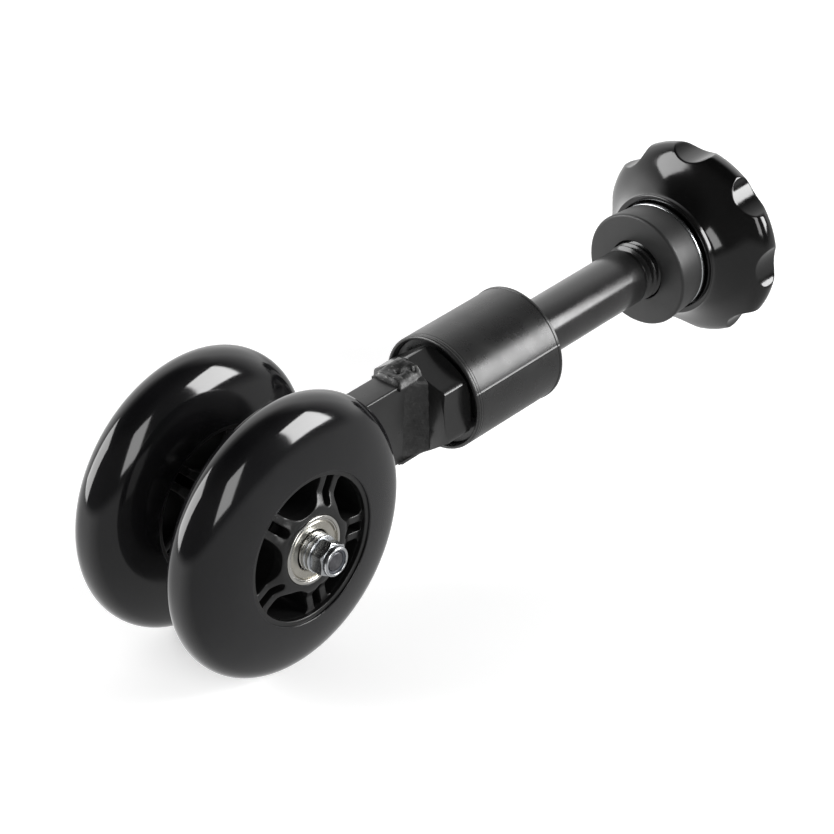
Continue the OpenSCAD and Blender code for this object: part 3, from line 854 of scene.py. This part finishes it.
def make_hex_bolt():
    """Hex head, shank with its relief groove, thread and chamfered tip."""
    head_back = BOLT_LOW[0] + HEAD_H
    head = hex_shell(HEAD_AF, BOLT_LOW[0], head_back, along_bolt, (0.2, 0.2), phase=HEAD_TURN)
    thread_from = THREAD_START + RELIEF_L
    shank = lathe(rounded([
        (0, head_back - 1, 0), (SHANK_R, head_back - 1, 0), (SHANK_R, THREAD_START, 0.35),
        (THREAD_ROOT_R, THREAD_START, 0.2), (THREAD_ROOT_R, thread_from + 1, 0), (0, thread_from + 1, 0)]),
        along_bolt, 160)
    end = BOLT_HIGH[0]
    tip_r = THREAD_ROOT_R - 0.05
    tip = lathe(rounded([(0, end - 3, 0), (tip_r, end - 3, 0), (tip_r, end, 0.4), (0, end, 0)]),
                along_bolt, 128)
    thread = helical_skin(*thread_grid(thread_from, end - 0.2))
    make_piece("hex_bolt_body", combine(head, shank, thread, tip), "black_bolt", "frame", "hex_bolt")


def make_sleeve():
    """Rubber sleeve with a pocket for the head, two fine grooves, an end flange and a seam."""
    left, right = SLEEVE_LOW[0], SLEEVE_HIGH[0]
    r = SLEEVE_R
    pocket_r = SLEEVE_POCKET_R
    floor = left + SLEEVE_POCKET_H
    outline = rounded([
        (SHANK_R, floor, 0.3), (pocket_r, floor, 0.5), (pocket_r, left, 0.6), (r, left, 0.65),
        (r, left + 0.95, 0.12), (r - 0.12, left + 1.05, 0.1),
        (r - 0.12, left + 1.3, 0.1), (r, left + 1.4, 0.12),
        (r, left + 2.0, 0.1), (r - 0.08, left + 2.08, 0.08),
        (r - 0.08, left + 2.25, 0.08), (r, left + 2.35, 0.1),
        (r, right - 1.1, 0.1), (r + 0.22, right - 0.95, 0.1), (r + 0.22, right, 0.12), (SHANK_R, right, 0.3)])
    angles = np.linspace(0, TAU, 720, endpoint=False)[:, None]
    seam = 0.13 * np.exp(-((angles - SLEEVE_SEAM) / 0.012) ** 2)
    radius, x = outline[None, :, 0], outline[None, :, 1]
    grid = along_bolt(radius + seam * (radius > r - 0.2), x, angles)
    make_piece("rubber_sleeve_body", skin(grid), "sleeve_rubber", "frame", "rubber_sleeve")


def lumps(s, t, scale):
    """Uneven swelling of a weld, between -1 and 1, over two lengths."""
    u, v = s / scale, t / scale
    first = np.sin(1.7 * u + 0.9 * v + 0.4) * np.sin(1.1 * v - 0.6 * u + 1.3)
    second = np.sin(3.1 * u - 1.9 * v) * np.sin(2.7 * v + 1.2 * u + 0.7)
    third = np.sin(6.3 * u + 4.1 * v + 2.0) * np.sin(5.2 * v - 3.3 * u)
    return 0.55 * first + 0.3 * second + 0.15 * third


def bead(place, along, across, rise, sink=1.2):
    """A closed swelling on a face: place(s, t, h) gives points, rise(s, t) their height."""
    s, t = np.meshgrid(along, across, indexing="ij")
    top = place(s, t, rise(s, t))
    base = place(s, t, np.full_like(s, -sink))
    return skin(np.concatenate([top, base[:, ::-1]], 1), closed_round=False)


def make_weld():
    """Weld between the bar's end and the hex head: a mound on top, side fillets and a root below.

    s runs along the bar from the weld's start to the head, and t across the face.
    """
    face_x = BOLT_LOW[0]
    half_t, half_h = BAR_HIGH[1], BAR_HIGH[2]
    reach = face_x - WELD_LOW[0]
    peak = WELD_HIGH[2] - half_h - 0.15

    def mound(s, t):
        """Rises steeply from the bar, then slopes up to the head, with a crater and a notch."""
        step = np.clip((s - 0.1) / 0.9, 0, 1)
        slope = 0.58 + 0.42 * np.clip(s / reach, 0, 1)
        side = 1 - np.clip(np.abs(t) / (half_t + 0.9), 0, 1) ** 5
        crater = np.exp(-((s - 5.2) / 1.7) ** 2 - ((t + 0.6) / 1.5) ** 2)
        notch = np.exp(-((s - 8.3) / 0.9) ** 2 - ((t + 3.2) / 1.3) ** 2)
        height = peak * slope * side + 0.18 * lumps(s, t, 1.8) - 2.2 * crater - 1.3 * notch
        return np.minimum(height * step ** 0.5 - 0.3 * (1 - side), peak)

    def fillet(lean):
        """A hollow side that grows towards the head and is longer lower down."""
        def rise(s, t):
            down = np.clip((half_h - t) / (2 * half_h), 0, 1)
            leg = 7.2 + 2.2 * down + 0.5 * lumps(t, 0 * t, 2.0)
            near = np.clip(1 - (reach - s) / leg, 0, 1)
            ripple = 0.22 * lumps(t + 0.5 * s, s, lean) * np.clip(near * 4, 0, 1)
            ends = 1 - np.clip((np.abs(t) - half_h + 2.5) / 2.9, 0, 1) ** 2
            return (3.6 * near ** 1.25 + ripple) * ends - 0.1
        return rise

    def root(s, t):
        """A thin, lumpy run."""
        side = 1 - np.clip(np.abs(t) / (half_t + 0.6), 0, 1) ** 4
        near = np.clip((s - 1.0) / (reach - 1.0), 0, 1)
        return (0.7 + 1.1 * near + 0.45 * lumps(s, t, 1.3)) * side * np.clip(s / 1.2, 0, 1) - 0.2

    def on_top(s, t, h):
        return np.stack([WELD_LOW[0] + s, t, half_h + h], -1)

    def below(s, t, h):
        return np.stack([WELD_LOW[0] + s, t, -half_h - h], -1)

    def beside(sign):
        def place(s, t, h):
            return np.stack([WELD_LOW[0] + s, sign * (half_t + h), t], -1)
        return place

    along = np.linspace(0.02, reach + 0.1, 64)
    across = np.linspace(-half_t - 1.0, half_t + 1.0, 72)
    up_side = np.linspace(-half_h - 0.4, half_h + 0.4, 120)
    shells = [
        bead(on_top, along, across, mound), bead(below, along, across, root),
        bead(beside(-1), along, up_side, fillet(1.5)), bead(beside(1), along, up_side, fillet(1.9))]
    make_piece("weld_mound", combine(*shells), "weld_metal", "frame", "weld_bead", 60)


# ---- clamp ----

def make_pad():
    """Rubber pad, tapered towards its washer, and the washer."""
    left, right = PAD_LOW[0], PAD_HIGH[0]
    r = PAD_HIGH[2]
    outline = rounded([
        (HOLE_R, left, 0.25), (r, left, 1.0), (PAD_BACK_R, right, 0.8), (HOLE_R, right, 0.25)], 6)
    make_piece("rubber_pad_body", lathe(outline, along_bolt, 200), "pad_rubber", "pad", "rubber_pad")
    left, right = WASHER_LOW[0], WASHER_HIGH[0]
    r = WASHER_HIGH[2]
    outline = rounded([(HOLE_R, left, 0.2), (r, left, 0.35), (r, right, 0.5), (HOLE_R, right, 0.2)])
    make_piece("pad_washer_body", lathe(outline, along_bolt, 160), "zinc_steel", "pad", "pad_washer")


def cubic(points, steps):
    """Points along the cubic curve of four control points."""
    t = np.linspace(0, 1, steps)[:, None]
    first, second, third, last = np.array(points, float)
    return (1 - t) ** 3 * first + 3 * (1 - t) ** 2 * t * second + 3 * (1 - t) * t ** 2 * third + t ** 3 * last


def make_knob():
    """Star knob with its hub ring, and the threaded bush in it.

    The knob is one column of points for each angle. Its outer outline runs from the hub
    ring over the dome and the rim to the back. Where a scallop cuts a column, the outline
    follows the scallop's radius instead, with a soft edge between the two.
    """
    ring_x, back_x = KNOB_LOW[0], KNOB_HIGH[0]
    dome_x = ring_x + HUB_RING_REACH
    shell_r = HUB_RING_R + 0.1
    rim_x = back_x - RIM_L
    insert_r = INSERT_HIGH[2]
    dome = [(shell_r, dome_x), (shell_r + 4.7, dome_x + 8.6), (KNOB_R, rim_x - 5.1), (KNOB_R, rim_x)]
    front = cubic(dome, 50)
    b = np.linspace(0, math.pi / 2, 20)[1:]
    back = np.stack([KNOB_R - RIM_INSET + RIM_INSET * np.cos(b), rim_x + RIM_L * np.sin(b)], -1)
    outer = np.concatenate([front, back])
    steps = np.concatenate([[0], np.cumsum(np.linalg.norm(np.diff(outer, axis=0), axis=1))])
    crest = len(front) - 1
    angles = np.linspace(0, TAU, SCALLOPS * 48, endpoint=False)
    cut_centre = KNOB_R - SCALLOP_DEPTH + SCALLOP_R
    uncut = 1e3
    soft = 0.35
    cluster = 1 - (1 - np.linspace(0, 1, 26)) ** 2
    wall = 0.5 - 0.5 * np.cos(np.linspace(0, math.pi, 14))[1:-1]
    tail = np.linspace(0, 1, 16) ** 2
    columns = []
    for angle in angles:
        off = (angle + math.pi / SCALLOPS) % (TAU / SCALLOPS) - math.pi / SCALLOPS
        under = SCALLOP_R ** 2 - (cut_centre * math.sin(off)) ** 2
        limit = cut_centre * math.cos(off) - math.sqrt(under) if under > 0 else uncut
        front_at = steps[crest] - 0.6
        back_at = steps[crest] + 0.6
        if limit < KNOB_R:
            front_at = min(front_at, np.interp(limit, front[:, 0], steps[:crest + 1]))
            back_at = max(back_at, np.interp(-limit, -outer[crest:, 0], steps[crest:]))
        places = np.concatenate([
            cluster * front_at, front_at + wall * (back_at - front_at),
            back_at + tail * (steps[-1] - back_at)])
        r = np.interp(places, steps, outer[:, 0])
        x = np.interp(places, steps, outer[:, 1])
        if limit < uncut:
            gap = np.clip(0.5 + 0.5 * (limit - r) / soft, 0, 1)
            r = limit * (1 - gap) + r * gap - soft * gap * (1 - gap)
        columns.append(along_bolt(r, x, np.full_like(r, angle)))
    ring_in = HUB_RING_R - HUB_RING_WALL
    ring = rounded([
        (insert_r, dome_x, 0), (ring_in, dome_x, 0.3), (ring_in, ring_x, 0.4), (HUB_RING_R, ring_x, 0.45),
        (HUB_RING_R, dome_x - 0.3, 0.2), (shell_r, dome_x, 0)])
    around = angles[:, None]
    ring_part = along_bolt(ring[None, :, 0], ring[None, :, 1], around)
    back_part = along_bolt(np.array([[insert_r]]), np.array([[back_x - 1.5]]), around)
    grid = np.concatenate([ring_part, np.stack(columns), back_part], 1)
    make_piece("star_knob_body", skin(grid), "knob_plastic", "knob", "star_knob", 28)

    left, right = INSERT_LOW[0], INSERT_HIGH[0]
    bore = INSERT_BORE_R
    outline = rounded([(bore, left, 0.5), (insert_r, left, 0.5), (insert_r, right, 0.5), (bore, right, 0.5)])
    make_piece("knob_bush", lathe(outline, along_bolt, 128), "zinc_steel", "knob", "knob_insert")


def finish_cad_nodes():
    """Materials of the CAD nodes that show as they are."""
    finishes = {"balls": "ball_steel", "cages": "shield_steel", "bearing_spacer": "zinc_steel"}
    for name in SIDES:
        for part, slot in finishes.items():
            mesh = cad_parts[f"{name}_{part}"].data
            mesh.materials.clear()
            mesh.materials.append(MATERIALS[slot])


for wheel, wheel_side in SIDES.items():
    make_tyre(wheel, wheel_side)
    make_core(wheel, wheel_side)
    make_bearings(wheel, wheel_side)
make_axle()
make_bar()
make_hex_bolt()
make_weld()
make_sleeve()
make_pad()
make_knob()
finish_cad_nodes()


# ---- camera, floor and light ----

# The surround's walls are brightest at FILL_AZIMUTH and its floor at FAR_FLOOR_AZIMUTH;
# each pair holds the least and the most light.
FILL_AZIMUTH = 45
WALL_LIGHT = (0.08, 1.4)
FAR_FLOOR_AZIMUTH = 115
FLOOR_LIGHT = (0.5, 1.25)

# The camera's offset is in metres from the middle of the wheel axle: right, up and back
CAMERA_AZIMUTH = math.radians(-47.229)
CAMERA_ELEVATION = math.radians(32.662)
CAMERA_ROLL = math.radians(-1.122)
CAMERA_OFFSET = (0.05295, 0.02775, 0.93770)
LENS = 136.68
SENSOR = 36.0


def camera_axes():
    """The camera's right, up and back directions."""
    sa, ca = math.sin(CAMERA_AZIMUTH), math.cos(CAMERA_AZIMUTH)
    se, ce = math.sin(CAMERA_ELEVATION), math.cos(CAMERA_ELEVATION)
    back = Vector((sa * ce, -ca * ce, se))
    right = Vector((ca, sa, 0))
    up = back.cross(right)
    sr, cr = math.sin(CAMERA_ROLL), math.cos(CAMERA_ROLL)
    return cr * right + sr * up, cr * up - sr * right, back


def make_camera():
    """A long lens, placed from the middle of the wheel axle."""
    right, up, back = camera_axes()
    data = bpy.data.cameras.new("camera")
    data.lens = LENS
    data.sensor_width = SENSOR
    data.clip_start = 0.05
    data.clip_end = 50
    camera = bpy.data.objects.new("camera", data)
    aside, above, away = CAMERA_OFFSET
    place = Vector((AXLE_X * MM, 0, 0)) + aside * right + above * up + away * back
    turn = Matrix((right, up, back)).transposed().to_4x4()
    camera.matrix_world = Matrix.Translation(place) @ turn
    bpy.context.scene.collection.objects.link(camera)
    bpy.context.scene.camera = camera


def towards(azimuth, elevation):
    """The direction at an azimuth from +X towards +Y and an elevation, in degrees."""
    azimuth, elevation = math.radians(azimuth), math.radians(elevation)
    level = math.cos(elevation)
    return Vector((level * math.cos(azimuth), level * math.sin(azimuth), math.sin(elevation)))


def softbox(name, azimuth, elevation, size, power, distance=2.5, target=(-0.04, 0, 0)):
    """A rectangular soft light of a size in metres, aimed at the object."""
    data = bpy.data.lights.new(name, "AREA")
    data.shape = "RECTANGLE"
    data.size, data.size_y = size
    data.energy = power
    light = bpy.data.objects.new(name, data)
    away = towards(azimuth, elevation)
    light.location = Vector(target) + away * distance
    light.rotation_euler = away.to_track_quat("Z", "Y").to_euler()
    light.visible_camera = False
    bpy.context.scene.collection.objects.link(light)


def make_floor():
    """A pale floor under the wheels that shines like the backdrop far from the object.

    Glossy parts mirror the surround in its place.
    """
    low = CAD_BOX[0][2]
    reach = 8.0
    mesh = bpy.data.meshes.new("floor")
    corners = [(-reach, -reach, low), (reach, -reach, low), (reach, reach, low), (-reach, reach, low)]
    mesh.from_pydata(corners, [], [(0, 1, 2, 3)])
    material, tree, shader = nodes_of("floor_paper")
    cloud = mapped(tree, noise(tree, object_coords(tree), 2.0), 0.3, 0.7, 0.0, 1.0)
    paper = blend_colours(tree, cloud, (0.90, 0.90, 0.90), (0.92, 0.92, 0.92))
    distance = tree.nodes.new("ShaderNodeVectorMath")
    distance.operation = "LENGTH"
    link(tree, object_coords(tree), distance.inputs[0])
    far = mapped(tree, distance.outputs["Value"], 0.8, 2.4, 0.0, 1.0)
    link(tree, blend_colours(tree, far, paper, (0, 0, 0)), shader.inputs["Base Color"])
    shader.inputs["Roughness"].default_value = 0.9
    shader.inputs["Specular IOR Level"].default_value = 0.0
    shader.inputs["Emission Color"].default_value = (1, 1, 1, 1)
    link(tree, mapped(tree, far, 0.0, 1.0, 0.42, 0.95), shader.inputs["Emission Strength"])
    mesh.materials.append(material)
    floor = bpy.data.objects.new("floor", mesh)
    floor.visible_glossy = False
    floor.visible_shadow = False
    bpy.context.scene.collection.objects.link(floor)


def make_backdrop():
    """A white dome behind everything, seen by the camera only."""
    work = bmesh.new()
    bmesh.ops.create_icosphere(work, subdivisions=4, radius=12.0)
    mesh = bpy.data.meshes.new("backdrop")
    work.to_mesh(mesh)
    work.free()
    material, _, shader = nodes_of("backdrop_paper")
    shader.inputs["Base Color"].default_value = (0, 0, 0, 1)
    shader.inputs["Specular IOR Level"].default_value = 0.0
    shader.inputs["Emission Color"].default_value = (1, 1, 1, 1)
    shader.inputs["Emission Strength"].default_value = 0.95
    mesh.materials.append(material)
    dome = bpy.data.objects.new("backdrop", mesh)
    dome.visible_diffuse = False
    dome.visible_glossy = False
    dome.visible_transmission = False
    dome.visible_volume_scatter = False
    dome.visible_shadow = False
    bpy.context.scene.collection.objects.link(dome)


def make_surround():
    """Light of the walls and the floor: bright beyond +X and +Y, dark elsewhere and overhead."""
    world = bpy.data.worlds.new("surround")
    world.use_nodes = True
    tree = world.node_tree
    direction = tree.nodes.new("ShaderNodeTexCoord").outputs["Generated"]
    split = tree.nodes.new("ShaderNodeSeparateXYZ")
    link(tree, direction, split.inputs[0])
    facing = tree.nodes.new("ShaderNodeVectorMath")
    facing.operation = "DOT_PRODUCT"
    link(tree, direction, facing.inputs[0])
    facing.inputs[1].default_value = towards(FILL_AZIMUTH, 0)
    walls = mapped(tree, facing.outputs["Value"], 0.25, 0.65, *WALL_LIGHT)
    height = split.outputs["Z"]
    open_air = arithmetic(tree, "MULTIPLY", walls, mapped(tree, height, 0.62, 0.9, 1.0, 0.08))
    above = mapped(tree, height, -0.14, 0.0, 0.0, 1.0)
    light = arithmetic(tree, "MULTIPLY", open_air, above)
    behind = tree.nodes.new("ShaderNodeVectorMath")
    behind.operation = "DOT_PRODUCT"
    link(tree, direction, behind.inputs[0])
    behind.inputs[1].default_value = towards(FAR_FLOOR_AZIMUTH, 0)
    ground = mapped(tree, behind.outputs["Value"], -0.2, 0.6, *FLOOR_LIGHT)
    below = arithmetic(tree, "MULTIPLY", arithmetic(tree, "SUBTRACT", 1.0, above), ground)
    background = tree.nodes["Background"]
    link(tree, arithmetic(tree, "ADD", light, below), background.inputs["Color"])
    background.inputs["Strength"].default_value = 1.0
    bpy.context.scene.world = world


def make_studio():
    """Floor, white backdrop, surround and three softboxes low round the object."""
    make_floor()
    make_backdrop()
    make_surround()
    softbox("softbox_front", -106, 22, (0.80, 1.40), 19)
    softbox("softbox_clamp", -48, 19, (1.10, 1.25), 62)
    softbox("softbox_far", 130, 18, (1.50, 1.80), 66)
    bpy.context.scene.view_settings.view_transform = "Standard"


make_camera()
make_studio()
